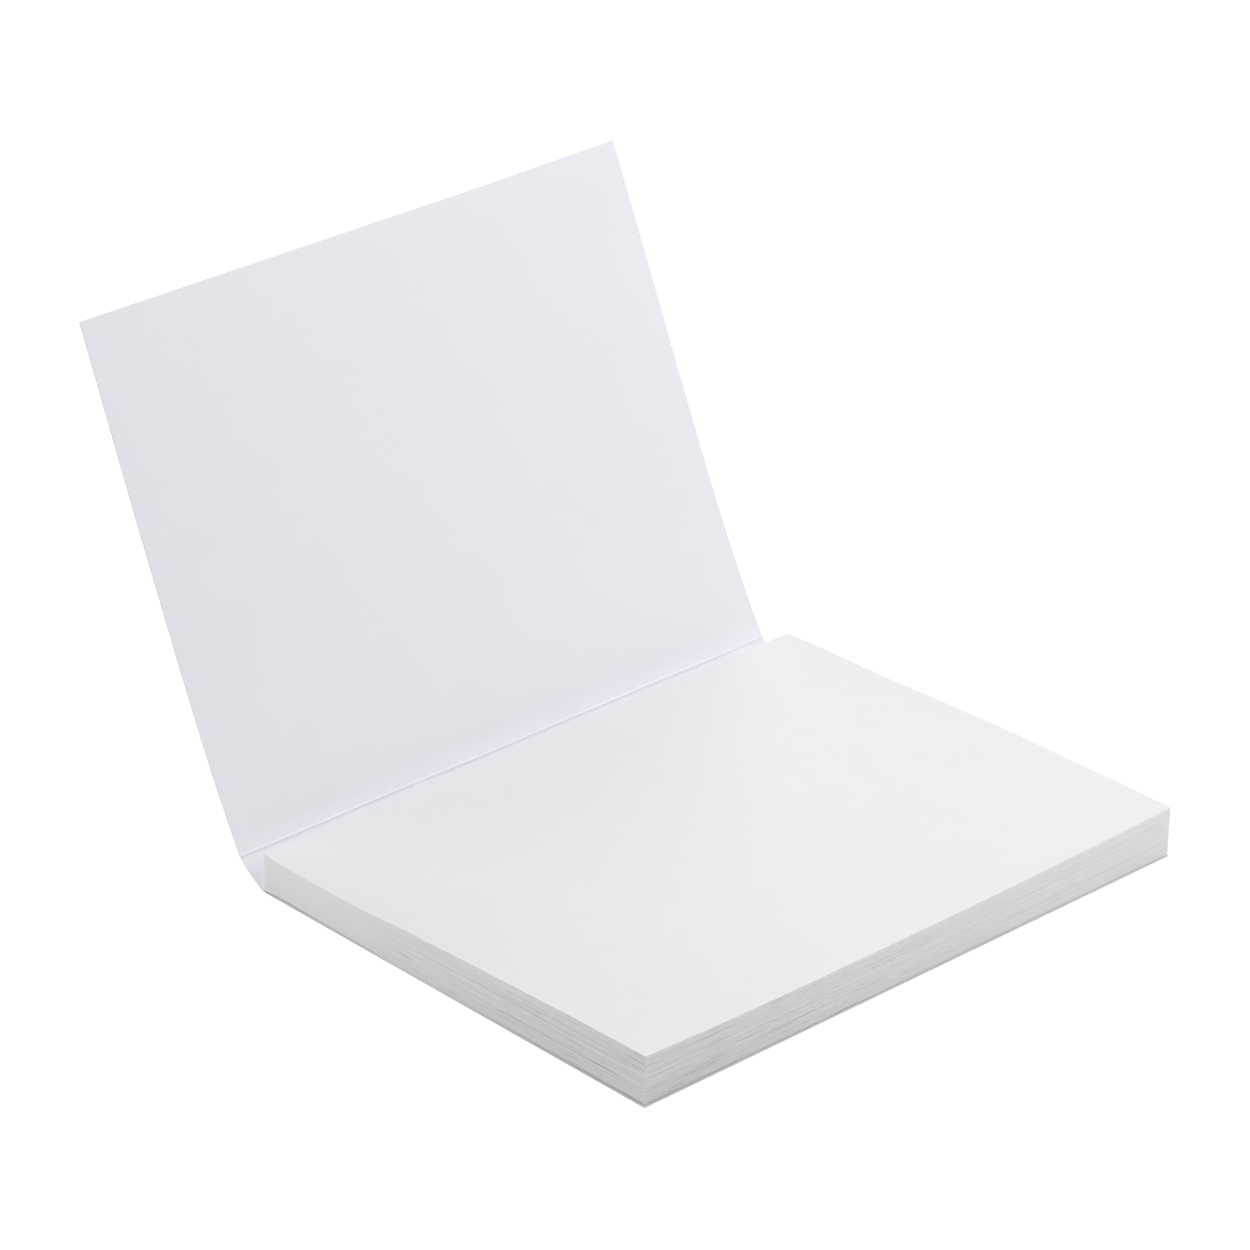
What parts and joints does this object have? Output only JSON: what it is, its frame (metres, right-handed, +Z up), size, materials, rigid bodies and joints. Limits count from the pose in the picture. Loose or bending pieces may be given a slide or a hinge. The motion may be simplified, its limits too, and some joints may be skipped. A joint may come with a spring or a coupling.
{
  "type": "sticky note pad",
  "caption": "Rectangular block of note sheets glued along one edge, in a folded soft card cover that opens about two creases at the spine.",
  "frame": {"origin": "under the middle of the sheets, at the underside of the cover's back panel, where the pad rests on a table", "axes": "+X along the spine, +Y from the free edge of the sheets to the spine, +Z up, out of the sheets"},
  "size_m": [0.1, 0.1131, 0.0719],
  "materials": {
    "note_paper": "uncoated white writing paper",
    "cover_card": "smooth, faintly bluish white cover card"
  },
  "bodies": {
    "pad": {"sheet_block": "note_paper", "back_cover": "cover_card"},
    "spine": {"spine": "cover_card"},
    "cover": {"front_cover": "cover_card"}
  },
  "joints": [
    {"name": "spine_hinge", "type": "hinge", "parent": "pad", "child": "spine", "pos_m": [0, 0.03775, 0.00015], "axis": [1, 0, 0], "range_deg": [-26.5, 54]},
    {"name": "cover_hinge", "type": "hinge", "parent": "spine", "child": "cover", "pos_m": [0, 0.04273, 0.00376], "axis": [1, 0, 0], "range_deg": [-38.5, 60.2]}
  ]
}
